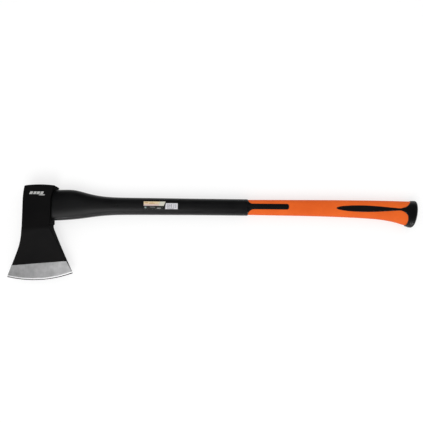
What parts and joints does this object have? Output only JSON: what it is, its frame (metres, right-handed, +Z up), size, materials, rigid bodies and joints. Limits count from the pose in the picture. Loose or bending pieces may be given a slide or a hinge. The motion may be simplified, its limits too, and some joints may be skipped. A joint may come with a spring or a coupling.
{
  "type": "splitting axe",
  "caption": "Two-handed splitting axe: flared forged head bonded on a straight plastic-jacketed glass-fibre handle with a soft grip and a flared end knob.",
  "frame": {"origin": "centre of the bottom of the bounding box, level with the head cheek that the axe lies on", "axes": "+X along the handle from the head to the end knob, +Y across the handle from the cutting edge to the poll, +Z up through the thickness of the head"},
  "size_m": [0.8966, 0.2072, 0.046],
  "materials": {
    "head_steel": "satin",
    "jacket_plastic": "satin",
    "grip_rubber": "matte",
    "glass_fibre": "satin",
    "resin": "gloss",
    "dam_rubber": "matte",
    "printed_label": "satin",
    "white_label": "matte"
  },
  "bodies": {
    "root": {"axe_head": "head_steel", "handle_jacket": "jacket_plastic", "grip_sleeve": "grip_rubber", "core_rod": "glass_fibre", "eye_epoxy": "resin", "resin_dam": "dam_rubber", "product_label": "printed_label", "barcode_label": "white_label"}
  },
  "joints": []
}
